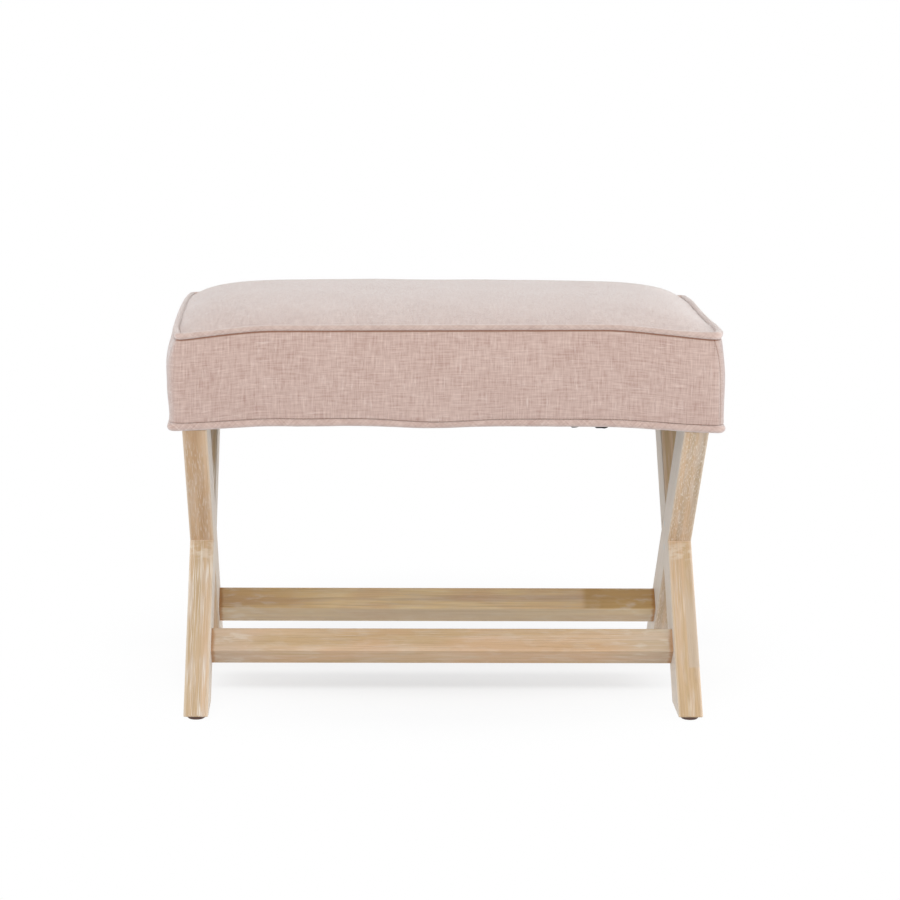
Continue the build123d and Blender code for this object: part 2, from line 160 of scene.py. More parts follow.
# Hem. It turns in under the boxing, then down behind the bottom cord, and goes in below the frame
turn_in = 0.0012  # from the face of the boxing
turn_down = 0.0016  # from the edge
behind_cord = 0.0010  # from the middle of the cord
hem_turns = (  # how far outside the top seam each turn is, and how far below the edge
    (edge_reach - edge_groove - turn_in, turn_down),
    (edge_half.x - seam_half.x - behind_cord, bottom_cord_radius),
)
hem_shares = (0.4, 1.0)  # of the way in to the hem's inner edge
hem_fall = 0.006  # cloth that each of these steps takes up
hem_width = 0.022

# Filling and padding
filling_pressure = 4.0
filling_cap = 0.006  # the most that a point of the cover moves
filling_frames = 20
filling_quality = 6
rumple_depth = 0.0008
rumple_size = 0.05
cover_thickness = 0.0012
layer_gap = 0.0006
batting_thickness = 0.003
pad_grid = (60, 36)
pad_rings = (0.14, 0.28, 0.44, 0.6, 0.76, 0.9, 1.0)  # shares of a layer's depth
pad_round = 0.004  # how far the edge of the padding stays under the seam
foam_bevel = 0.002

# Dust cloth
dust_grid = (196, 58)
leg_clear = 0.003
dust_sag = 0.002
dust_ripple = 0.5  # share of the sag
dust_ripple_size = 0.06
loose_edges = ((0.1735, 0.0110, 0.0099), (0.1442, 0.0090, 0.0089))  # place, width and drop of two
loose_depth = 0.012
fray = 0.04  # share of the drop
fray_size = 0.002

# Linen and dust cloth, up close
thread = 0.0005
seam_shade_line = 0.0013  # half the width of the painted shade line in a seam, and of the painted shade line of an upright seam
upright_shade_line = 0.0011
bond_pitch = 0.0024  # points of the dust cloth

# Turns of a grain that runs upright as it is made
along_x = (0, radians(90), 0)
along_y = (radians(90), 0, 0)
leg_lean = radians(43.0)  # about x, either way

# Marks on the legs
flat_start = 0.0002  # in from a flat side of a leg, where its greyer finish starts to fade and ends
flat_end = 0.0010
worn_place = 0.0015  # in from a flat side
worn_width = 0.0014
strip_low = (0.050, 0.053)  # heights at which a pale strip near the foot starts and fades out
strip_high = (0.10, 0.15)
strip_place = 0.0150  # out from the inner side
strip_fade = 0.0015
smear_below = 0.010  # lime under the half lap
smear_width = 0.012
glue_below = 0.0006  # or above, by the way that the leg leans
glue_width = 0.0014

# Marks on the stretchers, along x, or from the leg for the stain
bar_edge = 0.001  # half the height over which the upper face goes into the lower one
honey_left = (-0.19, -0.12)
honey_right = (0.174, 0.184)
end_haze = (0.18, 0.25)
end_smear = (0.17, 0.25)
stain_start = 0.0055
stain_end = 0.0015
stain_ragged = 0.006

# Studio
ambient = 0.68  # share of the white background's strength that lights the object
floor_radius = 6.0
shadow_middle = (0, 0.15, 0)  # the floor runs out to white all round this place
shadow_reach = (0.14, 0.50)
shadow_white = 0.74  # share of white at that place
streak_middle = -0.012  # front to back, where a band of less white paints shadow on the floor under the stretchers, over their real shadow
streak_width = 0.050
streak_ends = (0.20, 0.32)
streak_depth = 0.24  # share of white that is missing there, which paints the shade of that band

rounding = 1e-6  # of places that a mesh keeps
merge_distance = 1e-5


def ease(value, start, end):
    """0 before start, 1 past end and smooth between."""
    share = min(max((value - start) / (end - start), 0.0), 1.0)
    return share * share * (3 - 2 * share)


def hump(value, width):
    """1 at 0, falling off smoothly to both sides."""
    return exp(-((value / width) ** 2))


def shade(red, green, blue):
    """Colour given in screen values from 0 to 255."""
    levels = [value / 255 for value in (red, green, blue)]
    return tuple(v / 12.92 if v < 0.04045 else ((v + 0.055) / 1.055) ** 2.4 for v in levels) + (1.0,)


class Signal:
    """A shader socket: operators on it add Math nodes."""

    line_core = 0.35  # share of a line's width that has its full strength

    def __init__(self, finish, socket):
        self.finish = finish
        self.socket = socket

    def math(self, operation, first, second=0.0):
        return self.finish.node("ShaderNodeMath", {"operation": operation}, {0: first, 1: second})

    def __add__(self, other):
        return self.math("ADD", self, other)

    def __sub__(self, other):
        return self.math("SUBTRACT", self, other)

    def __rsub__(self, other):
        return self.math("SUBTRACT", other, self)

    def __mul__(self, other):
        return self.math("MULTIPLY", self, other)

    def __abs__(self):
        return self.math("ABSOLUTE", self)

    __radd__ = __add__
    __rmul__ = __mul__

    def sine(self):
        return self.math("SINE", self)

    def band(self, start, end):
        """0 before start, 1 past end and smooth between."""
        sockets = {"Value": self, "From Min": start, "From Max": end}
        return self.finish.node("ShaderNodeMapRange", {"interpolation_type": "SMOOTHSTEP"}, sockets)

    def line(self, width):
        """1 round 0, falling to 0 at this width on both sides."""
        return 1 - abs(self).band(width * self.line_core, width)


class Finish:
    """Nodes of a material or of the world."""

    def __init__(self, owner):
        self.owner = owner
        self.owner.use_nodes = True
        self.tree = owner.node_tree

    def node(self, kind, settings=None, sockets=None, output=0):
        """Adds a node: its settings first, then the values or links of its sockets."""
        made = self.tree.nodes.new(kind)
        for name, value in (settings or {}).items():
            setattr(made, name, value)
        self.feed(made, sockets or {})
        return Signal(self, made.outputs[output])

    def feed(self, made, sockets):
        for name, value in sockets.items():
            if isinstance(value, Signal):
                self.tree.links.new(value.socket, made.inputs[name])
            else:
                made.inputs[name].default_value = value

    def surface(self, **sockets):
        """Sets the Principled shader, whose socket names are written with underscores."""
        named = {name.replace("_", " "): value for name, value in sockets.items()}
        self.feed(self.tree.nodes["Principled BSDF"], named)
        return self.owner

    def place(self):
        return self.node("ShaderNodeTexCoord", output="Object")

    def part(self, place, axis):
        return self.node("ShaderNodeSeparateXYZ", {}, {0: place}, axis)

    def kept(self, attribute):
        """A number that the mesh keeps at each point."""
        return self.node("ShaderNodeAttribute", {"attribute_name": attribute}, {}, "Fac")

    def speckle(self, place, size, turn=(0, 0, 0), origin=(0, 0, 0), detail=2.0):
        """Noise round 0.5 whose blotches have this size in metres."""
        sockets = {"Vector": place, "Location": origin, "Rotation": turn, "Scale": size}
        cells = self.node("ShaderNodeMapping", {"vector_type": "TEXTURE"}, sockets)
        return self.node("ShaderNodeTexNoise", {}, {"Vector": cells, "Scale": 1.0, "Detail": detail})

    def mix(self, factor, first, second):
        settings = {"data_type": "RGBA", "clamp_factor": True}
        return self.node("ShaderNodeMix", settings, {0: factor, 6: first, 7: second}, 2)

    def bump(self, height, depth):
        return self.node("ShaderNodeBump", {}, {"Height": height, "Distance": depth})


def new_finish(name):
    return Finish(bpy.data.materials.new(name))


def uneven_yarn(cloth, threads, width, length):
    """Thick and thin places along the warp and along the weft, round 1."""
    return cloth.speckle(threads, (width, length, 1)) + cloth.speckle(threads, (length, width, 1))


def rose_linen(name, bias=0.0, painted_light=0.0, sewn=True):
    """Plain-weave linen with slubs both ways, along its own threads, and painted shade lines in its
    seams.
    """
    cloth = new_finish(name)
    uv = cloth.node("ShaderNodeUVMap", {"uv_map": "cloth"})
    threads = cloth.node("ShaderNodeMapping", {}, {"Vector": uv, "Rotation": (0, 0, bias)})
    tone = cloth.speckle(threads, (0.05, 0.05, 1), detail=3.0)
    fine = uneven_yarn(cloth, threads, 0.0012, 0.022)
    coarse = uneven_yarn(cloth, threads, 0.0026, 0.016)
    warp_slub = cloth.speckle(threads, (0.0024, 0.020, 1), origin=(0.7, 0.4, 0)).band(0.59, 0.74)
    weft_slub = cloth.speckle(threads, (0.024, 0.0022, 1), origin=(0.2, 0.9, 0)).band(0.60, 0.75)
    # painted_light lightens a copy of the linen, for the cords
    level = 0.54 + painted_light + (tone - 0.5) * 0.35 + (fine - 1.0) * 0.85 + (coarse - 1.0) * 0.65
    dyed = cloth.mix(level, shade(170, 135, 123), shade(217, 193, 182))
    colour = cloth.mix((warp_slub + weft_slub) * 0.40, dyed, shade(229, 210, 201))
    across = cloth.part(threads, 0) * (pi / thread)
    along = cloth.part(threads, 1) * (pi / thread)
    weave = across.sine() * along.sine()
    height = weave * 0.35 + fine * 0.5 + warp_slub * 0.6 + weft_slub * 0.6
    if sewn:
        # Painted shade: dark lines in the creases beside the cords and along the upright seams, stronger
        # on the right end
        right_end = cloth.part(cloth.place(), 0).band(-0.1, 0.1)
        upright = cloth.kept("upright_gap").line(upright_shade_line) * (right_end * 0.7 + 0.15)
        dark = cloth.kept("seam_gap").line(seam_shade_line) * 0.85 + upright * 0.4
        colour = cloth.mix(dark, colour, shade(134, 86, 56))
        height = height - upright * 1.5
    return cloth.surface(
        Base_Color=colour,
        Roughness=0.9,
        Specular_IOR_Level=0.15,
        Sheen_Weight=1.0,
        Sheen_Roughness=0.50,
        Sheen_Tint=shade(247, 250, 251),
        Normal=cloth.bump(height, 0.00035),
    )


def oak_grain(wood, turn, origin, tan, lime, dash):
    """Colour, lime, grain and height of oak whose open pores hold dashes of lime, turned to its grain."""
    place = wood.place()
    board = wood.speckle(place, (0.010, 0.010, 0.30), turn, origin)
    grain = wood.speckle(place, (0.0016, 0.0016, 0.08), turn, origin, 3.0)
    pores = wood.speckle(place, (0.0011, 0.0011, dash), turn, origin)
    patch = wood.speckle(place, (0.020, 0.020, 0.09), turn, origin)
    haze = wood.speckle(place, (0.009, 0.009, 0.05), turn, origin[::-1])
    heart = wood.mix(board.band(0.35, 0.65), shade(*tan), shade(211, 181, 149))
    lined = wood.mix(grain.band(0.45, 0.68) * 0.4, heart, shade(174, 143, 107))
    hazed = wood.mix(haze.band(0.50, 0.68) * lime * 0.5, lined, shade(210, 196, 184))
    streaks = pores.band(0.50, 0.68) * patch.band(0.30, 0.58) * lime
    limed = wood.mix(streaks * 0.9, hazed, shade(234, 224, 210))
    height = grain * 0.6 - pores.band(0.53, 0.66) * 0.5
    return limed, streaks, grain, height


def oak_surface(wood, colour, streaks, grain, height):
    """Dull oak, rougher where it holds lime."""
    return wood.surface(
        Base_Color=colour,
        Roughness=0.5 + streaks * 0.3 + grain * 0.15,
        Specular_IOR_Level=0.3,
        Normal=wood.bump(height, 0.0003),
    )


def leg_oak(name, way, origin, tan, lime, dash, sap):
    """Oak of a leg, greyer on its flat sides, paler along worn edges and smeared below its half lap."""
    wood = new_finish(name)
    limed, streaks, grain, height = oak_grain(wood, (way * leg_lean, 0, 0), origin, tan, lime, dash)
    place = wood.place()
    across = abs(wood.part(place, 0))
    up = wood.part(place, 2)
    inner = 1 - across.band(leg_low.x + flat_start, leg_low.x + flat_end)
    outer = across.band(leg_high.x - flat_end, leg_high.x - flat_start)
    sides = wood.mix(grain * 0.8, shade(236, 228, 218), shade(206, 194, 180))
    washed = wood.mix(inner * 0.85 + outer * 0.45, limed, sides)
    inner_edge = (across - leg_low.x - worn_place).line(worn_width)
    outer_edge = (across - leg_high.x + worn_place).line(worn_width)
    edged = wood.mix((inner_edge + outer_edge) * 0.30, washed, shade(232, 220, 202))
    foot = up.band(*strip_low) * (1 - up.band(*strip_high))
    strip = across.band(leg_low.x + strip_place, leg_low.x + strip_place + strip_fade) * foot
    sapped = wood.mix(strip * sap, edged, shade(198, 182, 164))
    narrow = 1 - inner - outer
    blotch = wood.speckle(place, (0.012, 0.012, 0.005), origin=origin, detail=3.0).band(0.42, 0.62)
    smear = blotch * (up - lap_height + smear_below).line(smear_width) * narrow
    smeared = wood.mix(smear * 0.4, sapped, shade(234, 226, 212))
    glue = (up - lap_height + way * glue_below).line(glue_width) * narrow
    colour = wood.mix(glue * 0.6, smeared, shade(236, 224, 206) if way < 0 else shade(206, 156, 104))
    return oak_surface(wood, colour, streaks, grain, height)


def stretcher_oak(name, origin, tan, end_stain, honey, paler):
    """Oak of a stretcher, with lime smears, honey-coloured ends, a paler lower side and glue stains."""
    wood = new_finish(name)
    limed, streaks, grain, height = oak_grain(wood, along_x, origin, tan, 0.25, 0.03)
    place = wood.place()
    side = wood.part(place, 0)
    along = abs(side)
    lower = 1 - wood.part(place, 2).band(bar_middle - bar_edge, bar_middle + bar_edge)
    warm = wood.speckle(place, (0.10, 0.03, 0.03), origin=origin).band(0.45, 0.60)
    warmed = wood.mix(warm * 0.35, limed, shade(208, 166, 130))
    ends = (1 - side.band(*honey_left)) * 0.4 + side.band(*honey_right) * 0.7
    oiled = wood.mix(ends * (1 - lower) * honey, warmed, shade(188, 148, 86))
    faced = wood.mix(lower * paler, oiled, shade(200, 184, 156))
    hazed = wood.mix(along.band(*end_haze) * (1 - honey) * 0.3, faced, shade(190, 184, 172))
    smear = wood.speckle(place, (0.024, 0.008, 0.008), origin=origin, detail=4.0).band(0.46, 0.70)
    smeared = wood.mix(smear * (0.15 + along.band(*end_smear) * 0.35), hazed, shade(224, 214, 200))
    ragged = along + (wood.speckle(place, (0.012, 0.006, 0.006), origin=origin) - 0.5) * stain_ragged
    stain = ragged.band(leg_low.x - stain_start, leg_low.x - stain_end)
    colour = wood.mix(stain * end_stain, smeared, shade(176, 120, 66))
    return oak_surface(wood, colour, streaks, grain, height)


def plain_wood(name, pale, dark, turn, ring):
    """Unfinished wood inside the seat, with growth rings along its grain."""
    wood = new_finish(name)
    place = wood.place()
    rings = wood.speckle(place, (ring, ring, ring * 40), turn, detail=3.0)
    fibre = wood.speckle(place, (0.0008, 0.0008, 0.03), turn)
    colour = wood.mix(rings.band(0.35, 0.65) * 0.7 + fibre * 0.3, shade(*pale), shade(*dark))
    return wood.surface(
        Base_Color=colour,
        Roughness=0.6 + fibre * 0.3,
        Specular_IOR_Level=0.25,
        Normal=wood.bump(fibre, 0.0003),
    )


def grainy(name, pale, dark, size, rough, depth, metal=0.0):
    """Finish with fine blotches of two close colours, for foam, batting, plastic and plated steel."""
    skin = new_finish(name)
    place = skin.place()
    coarse = skin.speckle(place, (size, size, size), detail=3.0)
    fine = skin.speckle(place, (size / 5, size / 5, size / 5))
    colour = skin.mix(coarse * 0.6 + fine * 0.4, shade(*dark), shade(*pale))
    return skin.surface(
        Base_Color=colour,
        Roughness=rough + (fine - 0.5) * 0.3,
        Metallic=metal,
        Normal=skin.bump(fine, depth),
    )


def black_cambric():
    """Nonwoven dust cloth with a grid of bonded points."""
    cloth = new_finish("black_cambric")
    place = cloth.place()
    fibres = cloth.speckle(place, (0.0008, 0.006, 0.006)) + cloth.speckle(place, (0.006, 0.0008, 0.006))
    step = 2 * pi / bond_pitch
    points = ((cloth.part(place, 0) * step).sine() * (cloth.part(place, 1) * step).sine()).band(0.2, 0.8)
    colour = cloth.mix(fibres * 0.5 - points * 0.3, shade(18, 18, 19), shade(58, 57, 58))
    return cloth.surface(
        Base_Color=colour,
        Roughness=0.85 - points * 0.25,
        Specular_IOR_Level=0.2,
        Normal=cloth.bump(fibres - points, 0.0003),
    )


def add_piece(name, bm, material):
    """Turns a finished bmesh into a piece that rides on the body."""
    mesh = bpy.data.meshes.new(name)
    bm.to_mesh(mesh)
    bm.free()
    mesh.shade_smooth()
    mesh.materials.append(material)
    piece = bpy.data.objects.new(name, mesh)
    bpy.context.scene.collection.objects.link(piece)
    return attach(piece, "root")


def thicken(piece, thickness):
    """Gives a sheet its thickness, on the side away from its faces."""
    wall = piece.modifiers.new("thickness", "SOLIDIFY")
    wall.thickness = thickness
    wall.offset = -1


def end_of(x):
    return 1 if x > 0 else -1


def seam_height(x, y):
    """Top seam, with a dip to each corner, a low arch along each end and a slight slope at the front."""
    end = end_of(x)
    share = (y / seam_half.y + 1) / 2
    dip = 0.0
    for row, part in ((-1, 1 - share), (1, share)):
        start, stop, depth = corner_dips[end, row]
        dip += part * depth * ease(abs(x), start, stop)
    arch = end_arch[end] * (1 - (y / seam_half.y) ** 2)
    if end > 0:
        arch += right_bump * hump(y - right_bump_place, right_bump_reach)
    rise = arch * ease(abs(x), seam_half.x - end_arch_blend, seam_half.x)
    return seam_middle - dip + rise + seam_tilt * x * (1 - share)


def edge_height(x, y):
    """Bottom edge of the boxing, which waves along its run and drops to the corners."""
    drop = edge_drop * ease(abs(x), *edge_drop_run)
    waves = sum(depth * hump(x - place, reach) for place, reach, depth in edge_dips)
    arch = edge_arch * (1 - min(abs(y) / seam_half.y, 1.0) ** 2)
    return edge_low + edge_rise - waves - drop + arch


def top_height(x, y):
    """Crown of the top panel, which meets the seams all round and is drawn down beside the right one."""
    rim = seam_height(x, copysign(seam_half.y, y))
    side = seam_height(copysign(seam_half.x, x), y)
    corner = seam_height(copysign(seam_half.x, x), copysign(seam_half.y, y))
    crest = crest_middle - swell - crown_fall * (x / seam_half.x) ** 2
    to_end = min(abs(x / seam_half.x), 1.0) ** crown_along
    to_rim = min(abs(y / seam_half.y), 1.0) ** crown_across
    middle = (1 - to_end) * (1 - to_rim) * crest
    inward = max(seam_half.x - x, 0.0) / right_tuck_reach
    tuck = right_tuck * inward * exp(1 - inward) * (1 - to_rim)
    return middle + to_end * side + to_rim * rim - to_end * to_rim * corner - tuck


def from_rim(x, y):
    """Distance in plan to the nearest run of the top seam."""
    return min(seam_half.x - abs(x), seam_half.y - abs(y))


def from_corner(x, y):
    """Distance in plan to the nearest corner of the top seam."""
    return hypot(seam_half.x - abs(x), seam_half.y - abs(y))


def at_front_corner(x, y, reach):
    """1 in a front corner of the top seam, falling to 0 at this distance from it."""
    return (1 - ease(from_corner(x, y), 0, reach)) * ease(-y, 0, seam_half.y / 2)


def top_cord_size(x, y):
    """Radius of the top cord, thicker along the ends and most of all in the front right corner."""
    at_end = ease(abs(x), seam_half.x - end_cord_blend, seam_half.x)
    off_rear = ease(-y, -seam_half.y, -seam_half.y / 2)
    thicker = (end_cord_radius - top_cord_radius) * at_end * off_rear
    bulk = corner_bulk * at_front_corner(x, y, corner_bulk_reach) if x > 0 else 0.0
    return top_cord_radius + thicker + bulk


def bottom_cord_size(x, y):
    """Radius of the bottom cord, thinner at mid front and rear."""
    return bottom_cord_radius - bottom_cord_thin * hump(x, bottom_cord_thin_reach)


def seam_shift(x, y):
    """Shift along x of the top seam: its front left corner is short, and its right end stands out."""
    to_front = ease(-y, seam_half.y - shift_blend, seam_half.y)
    short = corner_short * ease(-x, seam_half.x - shift_blend, seam_half.x) * to_front
    out = end_out + end_out_more * hump(y + end_out_place, end_out_reach)
    pulled = corner_pull * at_front_corner(x, y, corner_pull_reach)
    return short + (out - pulled) * ease(x, seam_half.x - shift_blend, seam_half.x)


def shift_below(seam, down):
    """What is left of the shift of a point of the top seam at a share of the boxing's depth."""
    return seam_shift(seam.x, seam.y) * (1 - down) ** 3


def flared(x, down):
    """Shift along x of the right end towards its bottom edge."""
    at_end = ease(x, seam_half.x - flare_blend, seam_half.x)
    return right_flare * at_end * ease(down, flare_start, 1.0)


def round_corner(x, y):
    """Moves a point of a square-cornered plan to the same plan with rounded corners."""
    beyond_x = (abs(x) - seam_half.x) / seam_corner_radius + 1
    beyond_y = (abs(y) - seam_half.y) / seam_corner_radius + 1
    if beyond_x <= 0 or beyond_y <= 0:
        return x, y
    out_x = beyond_x * sqrt(1 - beyond_y**2 / 2) - 1
    out_y = beyond_y * sqrt(1 - beyond_x**2 / 2) - 1
    round_x = seam_half.x + out_x * seam_corner_radius
    round_y = seam_half.y + out_y * seam_corner_radius
    return copysign(round_x, x), copysign(round_y, y)


def outward_at(x, y):
    """Direction away from the seat at a point of the top seam."""
    away_x = max(abs(x) - seam_half.x + seam_corner_radius, 0)
    away_y = max(abs(y) - seam_half.y + seam_corner_radius, 0)
    return Vector((copysign(away_x, x), copysign(away_y, y), 0)).normalized()


def is_corner(x, y):
    """True on the four columns of the boxing that run down the middle of its corners."""
    away_x = abs(x) - seam_half.x + seam_corner_radius
    away_y = abs(y) - seam_half.y + seam_corner_radius
    return min(away_x, away_y) > 0 and abs(away_x - away_y) < rounding


def closer(share):
    """Grid lines drawn closer together towards the seams."""
    return share + grid_crowding * sin(pi * share) / pi


def boxing_reach(down):
    """Lean and belly of the boxing outside the top seam at a share of its depth, along a straight run."""
    full = max(sin(pi * down**belly_rise), 0.0) ** belly_round
    return edge_reach * down, bulge * full


def side_reach(seam, outward, down):
    """How far the side of the seat stands outside a point of the top seam at a share of its depth."""
    lean, belly = boxing_reach(down)
    slack = corner_slack * hump(from_corner(seam.x, seam.y), corner_reach)
    uneven = sum(height * hump(down - place, reach) for place, reach, height in left_humps)
    return lean + belly * (1 - slack) + uneven * max(-outward.x, 0.0)


def upright_seam(x, down):
    """Distance along x from the middle of the seat to the upright seams of an end."""
    end = end_of(x)
    return upright_low[end] - upright_swing[end] * exp(-down / upright_settle)


def ring_falls(line, depth):
    """Distances down the boxing of its rings, close together along both seams."""
    upper = [line + step for step in near_seam]
    lower = [depth - step for step in near_edge]
    step = (lower[0] - upper[-1]) / (middle_rings + 1)
    middle = [upper[-1] + step * (row + 1) for row in range(middle_rings)]
    return upper + middle + lower


def boxing_point(seam, outward, ring):
    """Point of a ring below a point of the top seam, its fall, and its gaps to both kinds of seam."""
    line = top_cord_size(seam.x, seam.y) + cord_shadow
    depth = seam.z - edge_height(seam.x, seam.y)
    fall = ring_falls(line, depth)[ring]
    down = fall / depth
    sewn = groove * hump(fall - line, groove_width) + edge_groove * hump(depth - fall, groove_width)
    point = seam + outward * (side_reach(seam, outward, down) - sewn)
    point.x += flared(seam.x, down)
    beside = abs(point.x) - upright_seam(point.x, down)
    point.x += shift_below(seam, down)
    point.z = seam.z - fall
    return point, fall, min(abs(fall - line), depth - fall + edge_faint), beside


def hem_inner(x, y):
    """Point straight inside one of the bottom edge, on the inner edge of the hem, clear of the legs."""
    inner_x = edge_half.x - hem_width
    inner_y = edge_half.y - hem_width
    if abs(y) > leg_top_inner - leg_clear:
        inner_x = leg_high.x + leg_clear
    if abs(x) > leg_low.x - leg_clear:
        inner_y = leg_top_outer + leg_clear
    return Vector((max(min(x, inner_x), -inner_x), max(min(y, inner_y), -inner_y), 0))


def hem_point(seam, outward, step):
    """Point of the cloth that goes round the bottom cord and in under the frame."""
    out, drop = hem_turns[min(step, len(hem_turns) - 1)]
    point = seam + outward * out
    point.x += flared(seam.x, 1.0)
    point.z = edge_height(seam.x, seam.y) - drop
    if step < len(hem_turns):
        return point
    inner = point.lerp(hem_inner(point.x, point.y), hem_shares[step - len(hem_turns)])
    inner.z = edge_low + layer_gap / 2
    return inner


def seat_grid(columns, rows):
    """Flat grid for a layer of the seat, whose points can keep their seam and the way outward there."""
    bm = bmesh.new()
    seam = bm.verts.layers.float_vector.new("seam")
    outward = bm.verts.layers.float_vector.new("outward")
    bmesh.ops.create_grid(bm, x_segments=columns, y_segments=rows, size=1)
    return bm, seam, outward


def seat_points(bm, seam, outward):
    """Each point of such a grid with its place in the plan of the seat."""
    for vert in bm.verts:
        x, y = round_corner(closer(vert.co.x) * seam_half.x, closer(vert.co.y) * seam_half.y)
        vert[seam] = (x, y, seam_height(x, y))
        vert[outward] = outward_at(x, y)
        yield vert, x, y


def open_edges(bm):
    return [edge for edge in bm.edges if edge.is_boundary]


def extrude_ring(bm, rim):
    """Grows a ring of faces from a boundary and returns its vertices and its new boundary."""
    grown = bmesh.ops.extrude_edge_only(bm, edges=rim)["geom"]
    verts = [part for part in grown if isinstance(part, bmesh.types.BMVert)]
    edges = [part for part in grown if isinstance(part, bmesh.types.BMEdge)]
    fresh = set(verts)
    return verts, [edge for edge in edges if fresh.issuperset(edge.verts)]


def cloth_place(point, middle, fall, down):
    """Place of a boxing point on the cloth of the panel that the middle of its face belongs to."""
    if abs(middle.x) < upright_seam(middle.x, down):
        panel = 1 if middle.y < 0 else 3
        along = point.x
    else:
        panel = 2 if middle.x > 0 else 4
        turned = max(seam_half.x + sum(boxing_reach(down)) - abs(point.x), 0.0)
        along = copysign(abs(point.y) + turned, point.y)
    return Vector((along, -fall)) + panel_shift * panel


def lay_cloth(bm, uv, fall, top_faces):
    """Maps the cover to its cloth, flat on the top panel and by the fall on the boxing and the hem."""
    for face in bm.faces:
        middle = face.calc_center_median()
        lowest = max(vert[fall] for vert in face.verts)
        down = min(lowest / (seam_middle - edge_low), 1.0)
        for loop in face.loops:
            point = loop.vert.co
            if face in top_faces:
                loop[uv].uv = point.xy
            else:
                loop[uv].uv = cloth_place(point, middle, loop.vert[fall], down)


def cover_mesh():
    """Top panel, boxing and hem as one sheet, with its cloth's own map and each point's gap to a seam."""
    bm, seam, outward = seat_grid(*cover_grid)
    fall = bm.verts.layers.float.new("fall")
    pinned = bm.verts.layers.float.new("pinned")
    seam_gap = bm.verts.layers.float.new("seam_gap")
    upright_gap = bm.verts.layers.float.new("upright_gap")
    uv = bm.loops.layers.uv.new("cloth")
    for vert, x, y in seat_points(bm, seam, outward):
        vert[seam_gap] = abs(from_rim(x, y) - top_cord_size(x, y) - cord_shadow)
        vert[upright_gap] = seam_half.y  # no upright seam is near
        vert[pinned] = 1.0 if vert.is_boundary else 0.0
        vert.co = (x + seam_shift(x, y), y, top_height(x, y) - seam_sink * vert[pinned])
    top_faces = set(bm.faces)
    rim = open_edges(bm)
    for ring in range(cover_rings):
        loose = held_at_seam <= ring < cover_rings - held_at_edge
        verts, rim = extrude_ring(bm, rim)
        for vert in verts:
            placed = boxing_point(vert[seam].copy(), vert[outward], ring)
            vert.co, vert[fall], vert[seam_gap], vert[upright_gap] = placed
            vert[pinned] = 0.0 if loose and not is_corner(vert[seam].x, vert[seam].y) else 1.0
    for step in range(len(hem_turns) + len(hem_shares)):
        verts, rim = extrude_ring(bm, rim)
        for vert in verts:
            vert.co = hem_point(vert[seam].copy(), vert[outward], step)
            vert[fall] += hem_fall
            vert[pinned] = 1.0
            # painted shade: the hem takes the dark seam colour all over
            vert[seam_gap] = 0.0
    lay_cloth(bm, uv, fall, top_faces)
    return bm


def fill(piece):
    """Blows the cover out against its seams, as its padding does, by no more than the cap."""
    mesh = piece.data
    held = [index for index, kept in enumerate(mesh.attributes["pinned"].data) if kept.value > 0.5]
    piece.vertex_groups.new(name="sewn").add(held, 1.0, "REPLACE")
    cloth = piece.modifiers.new("filling", "CLOTH")
    cloth.settings.quality = filling_quality
    cloth.settings.vertex_group_mass = "sewn"
    cloth.settings.use_pressure = True
    cloth.settings.uniform_pressure_force = filling_pressure
    cloth.settings.effector_weights.gravity = 0
    for step in range(1, filling_frames + 1):
        bpy.context.scene.frame_set(step)
    filled = piece.evaluated_get(bpy.context.evaluated_depsgraph_get()).data
    moves = [Vector(after.co) - before.co for after, before in zip(filled.vertices, mesh.vertices)]
    piece.modifiers.remove(cloth)
    bpy.context.scene.frame_set(1)
    for vert, move in zip(mesh.vertices, moves):
        vert.co += move * min(1.0, filling_cap / max(move.length, filling_cap / 10))
    mesh.update()


def rumple(piece):
    """Soft unevenness of hand-pulled cloth."""
    mesh = piece.data
    normals = [vert.normal.copy() for vert in mesh.vertices]
    frees = [1 - kept.value for kept in mesh.attributes["pinned"].data]
    for vert, normal, free in zip(mesh.vertices, normals, frees):
        vert.co += normal * rumple_depth * free * noise.noise(vert.co / rumple_size)
    mesh.update()


def seat_cover(material):
    """Cover of the seat, sewn tight along its seams and blown out between them."""
    cover = add_piece("seat_cover", cover_mesh(), material)
    fill(cover)
    rumple(cover)
    smooth = cover.modifiers.new("smooth", "SUBSURF")
    smooth.levels = 1
    smooth.render_levels = 1
    thicken(cover, cover_thickness)
    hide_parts("cover_top", "front_boxing", "rear_boxing", "left_boxing", "right_boxing")


def pad_mesh(inset, low):
    """Top and sides of a layer of padding this far inside the cover, down to a height, and its rim."""
    bm, seam, outward = seat_grid(*pad_grid)
    for vert, x, y in seat_points(bm, seam, outward):
        height = top_height(x, y) - inset - pad_round * hump(from_rim(x, y), 3 * pad_round)
        shift = seam_shift(x, y)
        vert.co = (x * (1 - inset / seam_half.x) + shift, y * (1 - inset / seam_half.y), height)
    rim = open_edges(bm)
    for share in pad_rings:
        verts, rim = extrude_ring(bm, rim)
        for vert in verts:
            fall = (vert[seam].z - low) * share
            down = min(fall / (vert[seam].z - edge_height(vert[seam].x, vert[seam].y)), 1.0)
            reach = side_reach(vert[seam], vert[outward], down) - inset
            shift = shift_below(vert[seam], down)
            vert.co = vert[seam] + vert[outward] * reach + Vector((shift, 0, -fall))
    return bm, rim


def batting_wrap(material):
    """Fibre wrap under the cover, over the top and down the sides to the bottom edge."""
    bm = pad_mesh(cover_thickness + layer_gap, edge_low + 2 * batting_thickness)[0]
    wrap = add_piece("batting_wrap", bm, material)
    thicken(wrap, batting_thickness)
    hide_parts("batting")


